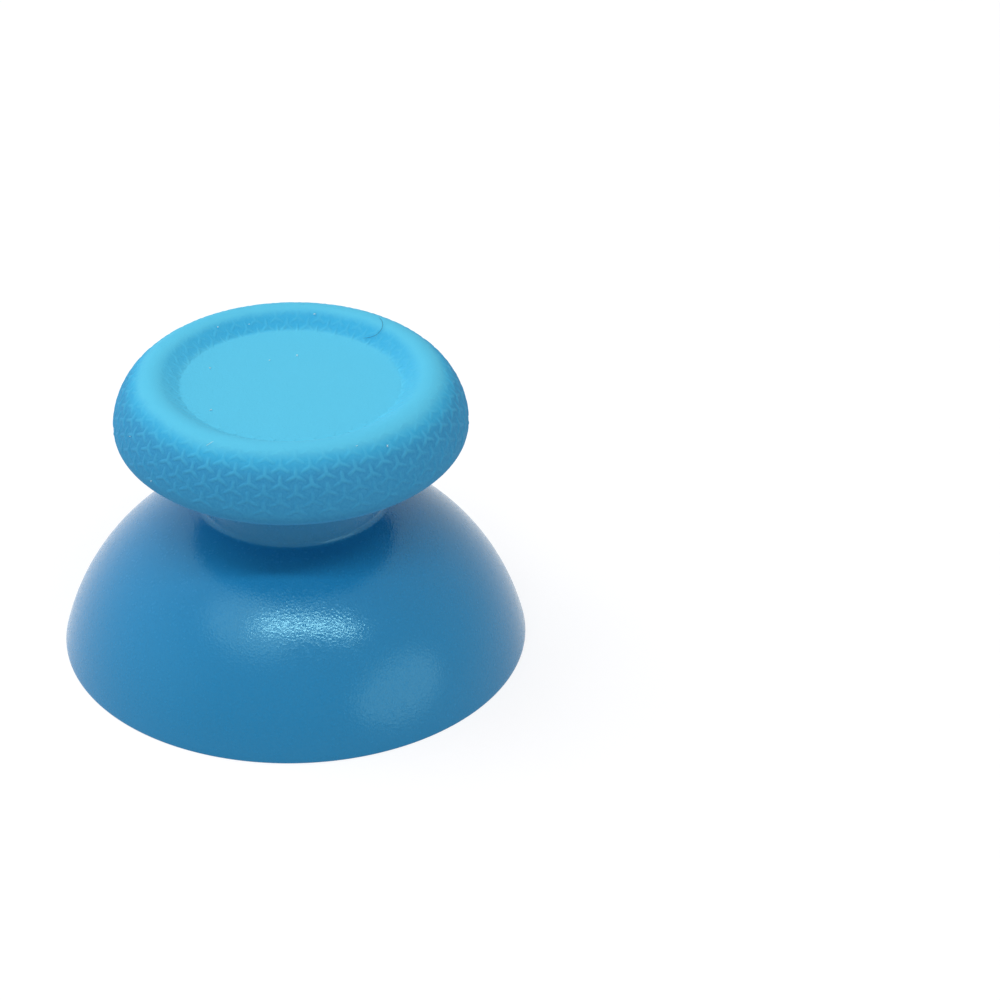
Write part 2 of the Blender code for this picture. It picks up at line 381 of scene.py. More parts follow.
def rubber_material(finish, g, level):
    """Matte rubber with painted light on the crest, the dish's floor and the raised ridges, and
    painted shade on the flank and the far part of the dish's wall.
    """
    material, board = material_board("matte_rubber")
    place = board.node("ShaderNodeTexCoord", None, None, "Object")
    back, up = board.axes(place, "YZ")
    flat = board.node("ShaderNodeVectorMath", {"operation": "MULTIPLY"},
                      {0: place, 1: (1.0, 1.0, 0.0)})
    radius = board.node("ShaderNodeVectorMath", {"operation": "LENGTH"}, {0: flat}, "Value")
    ridge = board.node("ShaderNodeAttribute", {"attribute_name": "ridge"}, None, "Fac")

    grain = board.noise(place, 6500.0, 2.0, 0.6)
    fine = board.noise(place, 16000.0, 1.0)
    cloud = board.noise(place, 300.0, 3.0, 0.6)

    # Painted light pales the crest and the dish's floor, which face up, but not the far part of
    # the dish's wall, which keeps a painted shade.
    crest, _, foot = crest_and_foot(g, level)
    drift = (cloud - 0.5) * (0.5 * MM)
    inside = 1 - board.steps(radius, crest[0] - 0.30 * MM, crest[0])
    top = level["crest"]
    top_light = board.steps(up + drift, top - 0.55 * MM, top - 0.05 * MM).at_least(inside)
    upper_light = board.steps(up + drift, top - 1.20 * MM, top - 0.35 * MM).at_least(inside)
    # Painted shade: the far part of the dish's wall, which faces away from the lamps behind,
    # keeps the half-shaded colour.
    wall = board.steps(radius + drift, foot - 0.10 * MM, foot + 0.35 * MM) * (
        1 - board.steps(radius + drift, crest[0] - 0.85 * MM, crest[0] - 0.25 * MM))
    wall = wall * board.steps(back, -5.0 * MM, 7.0 * MM)
    # Painted shade on the flank gives way to a painted half shade higher up.
    shade = board.mix(upper_light, opaque(finish.rubber_shaded), opaque(finish.rubber_half_shade))
    # Painted light on the tops of the raised stars, stronger in the upper rows.
    upper = board.steps(up, top - 2.20 * MM, top - 0.80 * MM)
    shade = board.mix(ridge * (upper * 0.31 + 0.11), shade, opaque(finish.rubber_lit_ridge))
    # Painted light on the faces near the top.
    shade = board.mix(top_light * (1 - wall), shade, opaque(finish.rubber_lit_top))
    mottle = board.steps(grain, 0.30, 0.75) * 0.14
    tint = board.mix(mottle, shade, opaque(finish.rubber_pale))
    normal = board.node("ShaderNodeBump", None,
                        {"Strength": 0.8, "Distance": 0.04 * MM,
                         "Height": grain * 0.7 + fine * 0.3})
    shaded(board, {
        "Base Color": tint,
        "Roughness": 0.74 + cloud * 0.14,
        "IOR": 1.45,
        "Normal": normal,
    })
    return material


def fibre_material(name, base, roughness):
    """A fine fibre whose colour wanders a little along it."""
    material, board = material_board(name)
    place = board.node("ShaderNodeTexCoord", None, None, "Object")
    wander = board.noise(place, 3000.0, 2.0)
    dark = opaque(Vector(base) * 0.75)
    shaded(board, {
        "Base Color": board.mix(wander, dark, opaque(base)),
        "Roughness": roughness,
    })
    return material


def floor_material(sizes):
    """White floor that keeps a soft shadow, and is clear from below."""
    material, board = material_board("white_floor")
    seen = background_rays(board)
    place = board.node("ShaderNodeTexCoord", None, None, "Object")
    distance = board.node("ShaderNodeVectorMath", {"operation": "LENGTH"}, {0: place},
                          "Value")
    far = board.steps(distance, 80 * MM, 400 * MM)
    glow = seen * (0.745 + far * 0.255) + (1 - seen) * sizes.bounce
    lit = board.node("ShaderNodeBsdfDiffuse", None, {"Color": (0.30, 0.30, 0.31, 1.0)})
    light = board.node("ShaderNodeEmission", None,
                       {"Color": (1.0, 1.0, 1.0, 1.0), "Strength": glow})
    both = board.node("ShaderNodeAddShader", None, {0: lit, 1: light})
    clear = board.node("ShaderNodeBsdfTransparent")
    below = board.node("ShaderNodeNewGeometry", None, None, "Backfacing")
    surface = board.node("ShaderNodeMixShader", None, {0: below, 1: both, 2: clear})
    board.node("ShaderNodeOutputMaterial", None, {"Surface": surface})
    return material


# ---------------------------------------------------------------- sections


def arc(centre, radius, start, end, step):
    """Points of an arc in a section, with both of its ends."""
    parts = max(3, ceil(abs(end - start) / step))
    angles = [start + (end - start) * i / parts for i in range(parts + 1)]
    return [(centre[0] + radius * cos(a), centre[1] + radius * sin(a)) for a in angles]


def softened(before, corner, after, radius, parts=4):
    """The small arc that takes a corner's place."""
    to_before = (Vector(before) - Vector(corner)).normalized()
    to_after = (Vector(after) - Vector(corner)).normalized()
    half = acos(max(-1.0, min(1.0, to_before.dot(to_after)))) / 2
    centre = Vector(corner) + (to_before + to_after).normalized() * (radius / sin(half))
    first = Vector(corner) + to_before * (radius / tan(half)) - centre
    turn = first.angle_signed(Vector(corner) + to_after * (radius / tan(half)) - centre)
    start = atan2(first.y, first.x)
    return [(centre.x + radius * cos(start - turn * i / parts),
             centre.y + radius * sin(start - turn * i / parts)) for i in range(parts + 1)]


def skirt_centre(m):
    """Centre of the arcs of the dome's outside and inside."""
    return (m.skirt_radius - m.skirt_curve * cos(m.rim_lean),
            -m.skirt_curve * sin(m.rim_lean))


def dome_height(m, radius, depth=0.0):
    """Height of the dome's surface, or of one that lies deeper in its wall."""
    centre_r, centre_z = skirt_centre(m)
    return centre_z + sqrt((m.skirt_curve - depth) ** 2 - (radius - centre_r) ** 2)


def heights(m, g):
    """Levels that follow from the skirt, the neck and the grip."""
    level = {"hub": dome_height(m, m.neck_radius, m.skirt_wall) - m.hub_stand}
    level["boss"] = level["hub"] - m.boss_stand
    level["grip_base"] = dome_height(m, m.neck_radius) + m.neck_height
    level["widest"] = level["grip_base"] + g.under_rise
    flank_top = level["widest"] + g.flank * sin(g.flank_sweep)
    level["crest"] = flank_top + g.crest_round * (1 - sin(g.flank_sweep))
    level["dish"] = level["crest"] - g.dish_depth
    level["disc_top"] = level["dish"] - g.top_wall - g.bond_gap
    level["disc_base"] = level["grip_base"] + g.under_wall + g.bond_gap
    level["pocket"] = level["disc_top"] - m.pocket_roof
    return level


def disc_edge(g, level, gap):
    """The disc's edge from its top to its underside, grown by a gap for the groove."""
    inner = g.radius - g.side_wall - g.bond_gap - g.disc_round
    fine = radians(15)
    top = arc((inner, level["disc_top"] - g.disc_round), g.disc_round + gap, pi / 2, 0, fine)
    base = arc((inner, level["disc_base"] + g.disc_round), g.disc_round + gap, 0, -pi / 2,
               fine)
    return top + base


def moulding_section(m, g, level):
    """Section of the hard moulding, from the disc's top round to the boss's face."""
    centre = skirt_centre(m)
    inside = m.skirt_curve - m.skirt_wall
    fine = radians(1.6)
    small = radians(12)

    section = disc_edge(g, level, 0.0)
    section.append((m.neck_radius, level["disc_base"]))

    fillet_r = m.neck_radius + m.neck_fillet
    fillet_z = dome_height(m, fillet_r, -m.neck_fillet)
    lean = atan2(fillet_z - centre[1], fillet_r - centre[0])
    section += arc((fillet_r, fillet_z), m.neck_fillet, pi, pi + lean, small)
    section += arc(centre, m.skirt_curve, lean, m.rim_lean, fine)[1:-1]

    outer_rim = (m.skirt_radius, 0.0)
    land_edge = (m.skirt_radius - m.rim_land, 0.0)
    start = asin((m.rim_chamfer - centre[1]) / inside)
    fillet_r = m.neck_radius + m.hub_fillet
    fillet_z = dome_height(m, fillet_r, m.skirt_wall + m.hub_fillet)
    lean = atan2(fillet_z - centre[1], fillet_r - centre[0])
    dome = arc(centre, inside, start, lean, fine)
    section += softened(section[-1], outer_rim, land_edge, m.edge_round)
    section += softened(outer_rim, land_edge, dome[0], m.edge_round)
    section += softened(land_edge, dome[0], dome[1], m.edge_round)
    section += dome[1:]
    section += arc((fillet_r, fillet_z), m.hub_fillet, lean, pi, small)[1:]

    edge = (m.neck_radius - m.hub_round, level["hub"] + m.hub_round)
    section += arc(edge, m.hub_round, 0, -pi / 2, small)
    pocket_radius = m.neck_radius - m.neck_wall
    section.append((pocket_radius, level["hub"]))
    section.append((pocket_radius, level["pocket"]))
    section.append((m.boss_radius, level["pocket"]))
    section += softened((m.boss_radius, level["pocket"]), (m.boss_radius, level["boss"]),
                        (0.0, level["boss"]), m.edge_round)
    return section


def crest_and_foot(g, level):
    """Centre of the crest, slope of the dish's wall and its foot on the floor."""
    offset = g.flank - g.crest_round
    crest = (g.radius - g.flank + offset * cos(g.flank_sweep),
             level["widest"] + offset * sin(g.flank_sweep))
    both = g.crest_round + g.dish_fillet
    slope = min(g.dish_slope, acos(1 - g.dish_depth / both))
    straight = (g.dish_depth - both * (1 - cos(slope))) / sin(slope)
    foot = crest[0] - both * sin(slope) - straight * cos(slope)
    return crest, slope, foot


def pad_top(g, level):
    """The grip's upper surface, from the dish's foot over the crest to the widest line."""
    crest, slope, foot = crest_and_foot(g, level)
    fine = radians(3)
    top = arc((foot, level["dish"] + g.dish_fillet), g.dish_fillet, -pi / 2, slope - pi / 2,
              fine)
    top += arc(crest, g.crest_round, pi / 2 + slope, g.flank_sweep, fine)
    top += arc((g.radius - g.flank, level["widest"]), g.flank, g.flank_sweep, 0, fine)[1:]
    return top


def pad_section(m, g, level):
    """Section of the soft grip, from the dish's floor round to the top of its groove."""
    section = pad_top(g, level)
    under = (g.radius - g.under_reach, level["widest"])
    for across, down in arc((0, 0), 1.0, 0, pi / 2, radians(5))[1:]:
        section.append((under[0] + g.under_reach * across, under[1] - g.under_rise * down))

    hole = m.neck_radius + g.neck_gap
    groove = level["disc_base"] - g.bond_gap
    section += softened(section[-1], (hole, level["grip_base"]), (hole, groove), 0.12 * MM)
    section.append((hole, groove))
    section += reversed(disc_edge(g, level, g.bond_gap))
    return section


# ---------------------------------------------------------------- meshes


def new_piece(name, mesh, materials=()):
    """An object at the origin with this mesh, linked to the scene."""
    for material in materials:
        mesh.materials.append(material)
    piece = bpy.data.objects.new(name, mesh)
    bpy.context.scene.collection.objects.link(piece)
    return piece


def smoothed(mesh):
    """Shade a mesh smooth but for its sharp edges."""
    mesh.shade_smooth()
    mesh.set_sharp_from_angle(angle=SHARP)
    return mesh


def mesh_from(name, bm):
    """A mesh of a bmesh as it is, which uses it up."""
    mesh = bpy.data.meshes.new(name)
    bm.to_mesh(mesh)
    bm.free()
    return mesh


def skin_from(name, bm):
    """A mesh of a closed bmesh: its faces point outward, and it is smooth."""
    bmesh.ops.recalc_face_normals(bm, faces=bm.faces)
    return smoothed(mesh_from(name, bm))


def settled(piece, name):
    """A plain mesh of a piece as its modifiers leave it; the piece itself goes."""
    depsgraph = bpy.context.evaluated_depsgraph_get()
    mesh = bpy.data.meshes.new_from_object(piece.evaluated_get(depsgraph), depsgraph=depsgraph)
    bpy.data.objects.remove(piece, do_unlink=True)
    mesh.name = name
    return mesh


def turned(section, sides):
    """Turn a section round the Z axis, and close its two ends with flat discs."""
    kept = section[:1]
    for r, z in section[1:]:
        if hypot(r - kept[-1][0], z - kept[-1][1]) > WELD:
            kept.append((r, z))
    angles = [2 * pi * i / sides for i in range(sides)]
    return lofted([[(r * cos(a), r * sin(a), z) for a in angles] for r, z in kept])


def lofted(rings):
    """Skin a list of closed rings that have the same number of points, with both ends."""
    bm = bmesh.new()
    rows = [[bm.verts.new(point) for point in ring] for ring in rings]
    for lower, upper in zip(rows, rows[1:]):
        for i, corner in enumerate(lower):
            bm.faces.new((lower[i - 1], corner, upper[i], upper[i - 1]))
    bm.faces.new(rows[0])
    bm.faces.new(rows[-1])
    return bm


def modified(piece, tree, inputs):
    """Give a piece a Geometry Nodes modifier whose inputs are set by their names."""
    modifier = piece.modifiers.new(tree.name, "NODES")
    modifier.node_group = tree
    for item in tree.interface.items_tree:
        if item.item_type == "SOCKET" and item.in_out == "INPUT" and item.name in inputs:
            modifier[item.identifier] = inputs[item.name]
    piece.update_tag()
    return piece


def geometry_tree(name, inputs):
    """A new Geometry Nodes tree with named inputs, its board and the wires of its inputs."""
    tree = bpy.data.node_groups.new(name, "GeometryNodeTree")
    tree.interface.new_socket(name="Geometry", in_out="OUTPUT",
                              socket_type="NodeSocketGeometry")
    tree.interface.new_socket(name="Geometry", in_out="INPUT",
                              socket_type="NodeSocketGeometry")
    for label, kind in inputs.items():
        tree.interface.new_socket(name=label, in_out="INPUT", socket_type="NodeSocket" + kind)
    board = Board(tree)
    names = ("Geometry", *inputs)
    wires = dict(zip(names, board.node("NodeGroupInput", output=names)))
    return tree, board, wires


def ring_tree():
    """Copies of a piece, evenly turned round the Z axis."""
    tree, board, given = geometry_tree("turned_copies", {"Copies": "Int",
                                                         "Material": "Material"})
    index = board.node("GeometryNodeInputIndex")
    turn = board.node("ShaderNodeCombineXYZ", None, {"Z": index * (2 * pi) / given["Copies"]})
    points = board.node("GeometryNodePoints", None, {"Count": given["Copies"]})
    copies = board.node("GeometryNodeInstanceOnPoints", None,
                        {"Points": points, "Instance": given["Geometry"], "Rotation": turn})
    real = board.node("GeometryNodeRealizeInstances", None, {"Geometry": copies})
    dressed = board.node("GeometryNodeSetMaterial", None,
                         {"Geometry": real, "Material": given["Material"]})
    board.node("NodeGroupOutput", None, {"Geometry": dressed})
    return tree


def turned_copies(name, bm, copies, material):
    """A ring of copies of one solid, as a single plain mesh object."""
    single = new_piece(name, skin_from(name, bm))
    modified(single, ring_tree(), {"Copies": copies, "Material": material})
    return new_piece(name, settled(single, name))


# ---------------------------------------------------------------- moulding


def web_solid(m, level):
    """One web, along +X, with fillets that flare into the boss and the neck."""
    half = m.web_width / 2
    rise = half + m.web_fillet
    pocket_radius = m.neck_radius - m.neck_wall
    inner = sqrt((m.boss_radius + m.web_fillet) ** 2 - rise ** 2)
    outer = sqrt((pocket_radius - m.web_fillet) ** 2 - rise ** 2)
    inner_end = pi + atan2(rise, inner) + radians(8)
    outer_end = atan2(rise, outer) - radians(8)

    side = arc((inner, rise), m.web_fillet, inner_end, 1.5 * pi, radians(12))
    side += arc((outer, rise), m.web_fillet, -pi / 2, outer_end, radians(12))
    upper = [(side[0][0] - SINK, side[0][1])] + side
    upper.append((side[-1][0] + SINK, side[-1][1]))
    outline = upper + [(x, -y) for x, y in reversed(upper)]
    layers = (level["hub"], level["pocket"] + SINK)
    return lofted([[(x, y, z) for x, y in outline] for z in layers])


def rib_profile(m, radius, free, root):
    """Cross-section of a rib at one radius: a soft free edge, flat sides and root fillets."""
    stand = max(root - free, 0.02 * MM)
    half = m.rib_thickness / 2
    soft = min(m.edge_round * 1.6, stand * 0.45)
    flare = min(m.rib_root, stand * 0.5)
    side = arc((half - soft, free + soft), soft, -pi / 2, 0, radians(30))
    side += arc((half + flare, free + stand - flare), flare, pi, pi / 2 + radians(12),
                radians(20))
    side.append((side[-1][0] + 0.02 * MM, free + stand + 0.25 * MM))
    whole = side + [(-y, z) for y, z in reversed(side)]
    return [(radius, y, z) for y, z in whole]


def rib_solid(m, level):
    """One rib, along +X, that sweeps out of the hub and fades into the dome."""
    start = (m.neck_radius, level["hub"] + m.rib_step)
    end = (m.rib_reach, dome_height(m, m.rib_reach, m.skirt_wall))
    run, drop = end[0] - start[0], start[1] - end[1]
    lean = atan2(drop, run)
    half_turn = asin(hypot(run, drop) / (2 * m.rib_sweep))
    to_centre = m.rib_sweep * cos(half_turn)
    centre = (start[0] + run / 2 - to_centre * sin(lean),
              start[1] - drop / 2 - to_centre * cos(lean))

    rings = []
    stations = 26
    first = m.neck_radius - SINK
    last = m.rib_reach + 0.15 * MM
    for i in range(stations + 1):
        radius = first + (last - first) * i / stations
        free = centre[1] + sqrt(m.rib_sweep ** 2 - (radius - centre[0]) ** 2)
        free = min(free, start[1]) if radius < start[0] else free
        rings.append(rib_profile(m, radius, free, dome_height(m, radius, m.skirt_wall)))
    return lofted(rings)


def socket_solid(m, level):
    """The space of the socket: a round hole with two flats, and a sloped mouth."""
    mouth = level["boss"]
    layers = [(mouth - m.socket_lead_in, 2 * m.socket_lead_in),
              (mouth + m.socket_lead_in, 0.0),
              (mouth + m.socket_depth, 0.0)]
    rings = []
    for height, grow in layers:
        radius = m.socket_diameter / 2 + grow
        half_angle = asin((m.socket_flats / 2 + grow) / radius)
        fine = half_angle / 11.7             # 24 parts, whatever the angle
        arch = arc((0, 0), radius, pi / 2 - half_angle, pi / 2 + half_angle, fine)
        outline = arch + [(-x, -y) for x, y in arch]
        rings.append([(x, y, height) for x, y in outline])
    return lofted(rings)


def combined(mesh, tools):
    """Join blanks to a mesh, or cut cutters out of it, one after the other."""
    body = new_piece("moulding_blank", mesh)
    for tool, operation in tools:
        boolean = body.modifiers.new(tool.name, "BOOLEAN")
        boolean.operation = operation
        boolean.solver = "EXACT"
        boolean.object = tool
    result = settled(body, "cap_moulding")
    for tool, _ in tools:
        bpy.data.objects.remove(tool, do_unlink=True)
    return result


def mouth_edges(bm, m, level):
    """The sharp edges round the pockets' mouths, in the hub's face."""
    reach = m.neck_radius - m.hub_round * 1.5

    def in_face(vert):
        x, y, z = vert.co
        return abs(z - level["hub"]) < 0.002 * MM and hypot(x, y) < reach

    return [edge for edge in bm.edges
            if all(in_face(vert) for vert in edge.verts) and edge.is_manifold
            and edge.is_convex and edge.calc_face_angle() > radians(60)]


def soften_mouths(mesh, m, level):
    """Round the pockets' mouths."""
    bm = bmesh.new()
    bm.from_mesh(mesh)
    bmesh.ops.remove_doubles(bm, verts=bm.verts, dist=WELD)
    bmesh.ops.bevel(bm, geom=mouth_edges(bm, m, level), offset=m.edge_round, segments=3,
                    profile=0.5, affect="EDGES", clamp_overlap=True)
    bm.to_mesh(mesh)
    bm.free()
    smoothed(mesh)


class CAP_OT_moulding(bpy.types.Operator):
    """Make the hard moulding: skirt, neck, hub, boss, webs and ribs"""

    bl_idname = "thumbstick_cap.moulding"
    bl_label = "Moulding"

    def execute(self, context):
        scene = context.scene
        m, g = scene.cap_moulding, scene.cap_grip
        level = heights(m, g)
        blue = plastic_material(scene.cap_finish)
        section = moulding_section(m, g, level)
        turned_body = skin_from("turned", turned(section, MOULDING_SIDES))
        turned_body.materials.append(blue)
        ribs = turned_copies("ribs", rib_solid(m, level), m.rib_count, blue)
        webs = turned_copies("webs", web_solid(m, level), m.web_count, blue)
        socket = new_piece("socket", skin_from("socket", socket_solid(m, level)), [blue])
        mesh = combined(turned_body, [(ribs, "UNION"), (webs, "UNION"),
                                      (socket, "DIFFERENCE")])
        soften_mouths(mesh, m, level)
        mesh.materials.clear()
        piece = new_piece("cap_moulding", mesh, [blue])
        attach(piece, "root")
        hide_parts("base_moulding")
        return {"FINISHED"}


# ---------------------------------------------------------------- grip


class CAP_OT_grip(bpy.types.Operator):
    """Make the soft grip round the disc on the neck"""

    bl_idname = "thumbstick_cap.grip"
    bl_label = "Grip"

    def execute(self, context):
        scene = context.scene
        m, g = scene.cap_moulding, scene.cap_grip
        level = heights(m, g)
        bm = turned(pad_section(m, g, level), GRIP_SIDES)
        piece = new_piece("cap_grip", skin_from("cap_grip", bm),
                          [rubber_material(scene.cap_finish, g, level)])
        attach(piece, "root")
        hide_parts("grip_pad")
        return {"FINISHED"}


# An arm of a star, along it: share of its length, of its width and of its height
ARM_STATIONS = ((0.42, 0.98, 1.0), (0.74, 0.88, 0.80))
# Across it, as shares of its half width and height: its shoulders, and how deep its foot lies
SHOULDER_OUT, SHOULDER_UP, FOOT = 0.52, 0.82, -0.25
TIP_WIDTH = 0.42


def star_mesh(p):
    """One raised star, laid flat: a stem up the Y axis and two arms that point down."""
    tips = [(0.0, p.stem), (-p.arm_across, -p.arm_along), (p.arm_across, -p.arm_along)]
    half = p.ridge / 2
    offsets = (-1.0, -SHOULDER_OUT, 0.0, SHOULDER_OUT, 1.0)
    bm = bmesh.new()
    ridge = bm.verts.layers.float.new("ridge")
    peak = bm.verts.new((0.0, 0.0, p.rise))
    directions = [Vector(tip).normalized() for tip in tips]

    # Neighbouring arms meet in a crotch, where both of their feet start.
    crotches = []
    for i, one in enumerate(directions):
        other = directions[(i + 1) % 3]
        between = (one + other).normalized()
        spread = one.angle(other) / 2
        if one.cross(other) < 0:
            between = -between
        reach = half / max(sin(spread), 0.3)
        low = bm.verts.new((*(between * reach), FOOT * p.rise))
        mid = bm.verts.new((*(between * reach * SHOULDER_OUT), SHOULDER_UP * p.rise))
        crotches.append((low, mid))

    for i, (tip, along) in enumerate(zip(tips, directions)):
        size = Vector(tip).length
        left = Vector((-along.y, along.x))
        after, before = crotches[i], crotches[i - 1]
        row = [before[0], before[1], peak, after[1], after[0]]
        for share_along, width, height in ARM_STATIONS:
            centre = along * size * share_along
            lifts = (FOOT, SHOULDER_UP * height, height, SHOULDER_UP * height, FOOT)
            fresh = [bm.verts.new((*(centre + left * half * width * offset), p.rise * lift))
                     for offset, lift in zip(offsets, lifts)]
            for k in range(4):
                bm.faces.new((row[k], fresh[k], fresh[k + 1], row[k + 1]))
            row = fresh
        end = along * size
        tip_row = [bm.verts.new((*(end + left * half * TIP_WIDTH * offset), FOOT * p.rise))
                   for offset in (-1.0, 0.0, 1.0)]
        bm.faces.new((row[0], tip_row[0], row[1]))
        bm.faces.new((row[1], tip_row[0], tip_row[1], row[2]))
        bm.faces.new((row[2], tip_row[1], tip_row[2], row[3]))
        bm.faces.new((row[3], tip_row[2], row[4]))
    for vert in bm.verts:
        vert[ridge] = max(0.0, vert.co.z / p.rise) ** 1.5
    return mesh_from("star", bm)


def wrap_tree():
    """Rows of flat stars, bent round a turned profile.

    A star's own X runs round the axis, its Y climbs the profile and its Z stands off it.
    """
    tree, board, given = geometry_tree("wrapped_rows", {
        "Star": "Object", "Profile": "Object", "Rows": "Int", "Stars": "Int",
        "First": "Float", "Pitch": "Float", "Turn": "Float", "Plan Radius": "Float",
        "Spin": "Float", "Crest": "Float", "Foot": "Float", "Worn": "Float",
        "Worn Reach": "Float", "Material": "Material"})
    stars, plan = given["Stars"], given["Plan Radius"]
    index = board.node("GeometryNodeInputIndex")
    row = (index / stars).floor()
    column = index % stars
    angle_round = (column + (row % 2) * 0.5) * (2 * pi) / stars + given["Turn"]
    spot = board.node("ShaderNodeCombineXYZ", None,
                      {"X": angle_round * plan, "Y": -(given["First"] + row * given["Pitch"])})
    points = board.node("GeometryNodePoints", None,
                        {"Count": given["Rows"] * stars, "Position": spot})
    spin = board.node("ShaderNodeCombineXYZ", None, {"Z": given["Spin"]})
    star = board.node("GeometryNodeObjectInfo", None, {"Object": given["Star"]}, "Geometry")
    laid = board.node("GeometryNodeInstanceOnPoints", None,
                      {"Points": points, "Instance": star, "Rotation": spin})
    real = board.node("GeometryNodeRealizeInstances", None, {"Geometry": laid})

    here = board.node("GeometryNodeInputPosition")
    x, y, z = board.axes(here, "XYZ")
    curve = board.node("GeometryNodeObjectInfo", None, {"Object": given["Profile"]},
                       "Geometry")
    on_profile, tangent = board.node("GeometryNodeSampleCurve", {"mode": "LENGTH"},
                                     {"Curves": curve, "Length": -y},
                                     ("Position", "Tangent"))
    px, pz = board.axes(on_profile, "XZ")
    tx, tz = board.axes(tangent, "XZ")
    away = board.node("ShaderNodeMath", {"operation": "ABSOLUTE"}, {0: y + given["Crest"]})
    fresh = board.steps(away, 0.0, given["Worn Reach"])
    kept = fresh * (1 - given["Worn"]) + given["Worn"]
    stand = z * kept * board.steps(-y, given["Foot"] - 0.0005, given["Foot"] + 0.0003)
    flat = board.node("ShaderNodeCombineXYZ", None,
                      {"X": px - tz * stand, "Z": pz + tx * stand})
    bent = board.node("ShaderNodeVectorRotate", {"rotation_type": "Z_AXIS"},
                      {"Vector": flat, "Angle": x / plan - pi / 2})
    placed = board.node("GeometryNodeSetPosition", None, {"Geometry": real, "Position": bent})
    smooth = board.node("GeometryNodeSetShadeSmooth", None, {"Geometry": placed})
    dressed = board.node("GeometryNodeSetMaterial", None,
                         {"Geometry": smooth, "Material": given["Material"]})
    board.node("NodeGroupOutput", None, {"Geometry": dressed})
    return tree


def profile_curve(points):
    """A curve along a section, in the XZ plane."""
    curve = bpy.data.curves.new("profile", "CURVE")
    curve.dimensions = "3D"
    spline = curve.splines.new("POLY")
    spline.points.add(len(points) - 1)
    for point, (r, z) in zip(spline.points, points):
        point.co = (r, 0.0, z, 1.0)
    piece = bpy.data.objects.new("profile", curve)
    bpy.context.scene.collection.objects.link(piece)
    return piece


def path_length(points):
    """Length of a line of points."""
    return sum((Vector(b) - Vector(a)).length for a, b in zip(points, points[1:]))


class CAP_OT_pattern(bpy.types.Operator):
    """Wrap rows of raised stars round the grip's flank and the dish's wall"""

    bl_idname = "thumbstick_cap.pattern"
    bl_label = "Grip pattern"

    def execute(self, context):
        scene = context.scene
        m, g, p = scene.cap_moulding, scene.cap_grip, scene.cap_pattern
        top = pad_top(g, heights(m, g))
        floor_run = 1.0 * MM
        line = [(top[0][0] - floor_run, top[0][1])] + top
        line.append((g.radius, top[-1][1] - floor_run))
        profile = profile_curve(line)
        widest = floor_run + path_length(top)
        star = new_piece("star", star_mesh(p))
        tree = wrap_tree()
        rubber = bpy.data.materials["matte_rubber"]

        first = widest - p.last_row - (p.flank_rows - 1) * p.pitch
        inner = first - p.dish_rows * p.pitch
        zones = (("grip_stars_flank", p.flank_rows, first, 0.0),
                 ("grip_stars_dish", p.dish_rows, inner, pi))
        for name, rows, start, spin in zones:
            blank = new_piece(name + "_blank", bpy.data.meshes.new(name))
            modified(blank, tree, {
                "Star": star, "Profile": profile, "Rows": rows, "Stars": p.stars,
                "First": start, "Pitch": p.pitch, "Turn": p.turn, "Plan Radius": p.reach,
                "Spin": spin, "Crest": first, "Foot": floor_run, "Worn": p.worn,
                "Worn Reach": p.worn_reach, "Material": rubber})
            piece = new_piece(name, settled(blank, name))
            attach(piece, "root")
        for helper in (star, profile):
            bpy.data.objects.remove(helper, do_unlink=True)
        return {"FINISHED"}


# ---------------------------------------------------------------- lint


def on_grip(m, g, along, turn, lift=0.0):
    """A point on the grip, by its distance from the dish's foot and its angle."""
    level = heights(m, g)
    top = pad_top(g, level)
    if along < 0:
        radius, height, normal = top[0][0] + along, level["dish"], (0.0, 1.0)
    else:
        for a, b in zip(top, top[1:]):
            step = hypot(b[0] - a[0], b[1] - a[1])
            if along <= step:
                break
            along -= step
        part = min(along / step, 1.0)
        radius = a[0] + (b[0] - a[0]) * part
        height = a[1] + (b[1] - a[1]) * part
        normal = (-(b[1] - a[1]) / step, (b[0] - a[0]) / step)
    radius += normal[0] * lift
    height += normal[1] * lift
    return Vector((radius * sin(turn), -radius * cos(turn), height))


def thread(points, thickness):
    """A round fibre along a line of points, tapered at both ends."""
    curve = bpy.data.curves.new("thread", "CURVE")
    curve.dimensions = "3D"
    curve.bevel_depth = thickness / 2
    curve.bevel_resolution = 1
    curve.resolution_u = 4
    curve.use_fill_caps = True
    spline = curve.splines.new("NURBS")
    spline.points.add(len(points) - 1)
    for i, (point, co) in enumerate(zip(spline.points, points)):
        point.co = (*co, 1.0)
        point.radius = 0.55 if i in (0, len(points) - 1) else 1.0
    spline.use_endpoint_u = True
    spline.order_u = 4
    piece = bpy.data.objects.new("thread", curve)
    bpy.context.scene.collection.objects.link(piece)
    return settled(piece, "thread")


def joined(name, meshes, material):
    """One piece from several meshes."""
    bm = bmesh.new()
    for mesh in meshes:
        bm.from_mesh(mesh)
    bmesh.ops.recalc_face_normals(bm, faces=bm.faces)
    mesh = mesh_from(name, bm)
    mesh.shade_smooth()
    return new_piece(name, mesh, [material])


# Where lint lies: millimetres from the dish's foot and degrees round the axis, and for the
# specks their size in millimetres
SPECKS = (
    (1.01, -140.4, 0.13), (0.66, -155.7, 0.12), (1.09, 172.3, 0.15), (-2.88, 176.8, 0.17),
    (-3.14, -152.1, 0.10), (-0.92, -54.2, 0.16), (4.28, -62.5, 0.12), (5.61, -46.1, 0.12),
    (3.02, 40.1, 0.20), (-1.22, -108.9, 0.16), (2.48, 28.8, 0.11),
)
FIBRE = ((2.61, -27.9), (2.50, -27.1), (2.40, -26.9), (2.30, -26.1))
HAIR = (
    (0.24, 143.0), (0.31, 141.4), (0.51, 138.7), (0.81, 136.9), (1.18, 136.8),
    (1.51, 138.6), (1.74, 141.3), (1.86, 143.7),
)


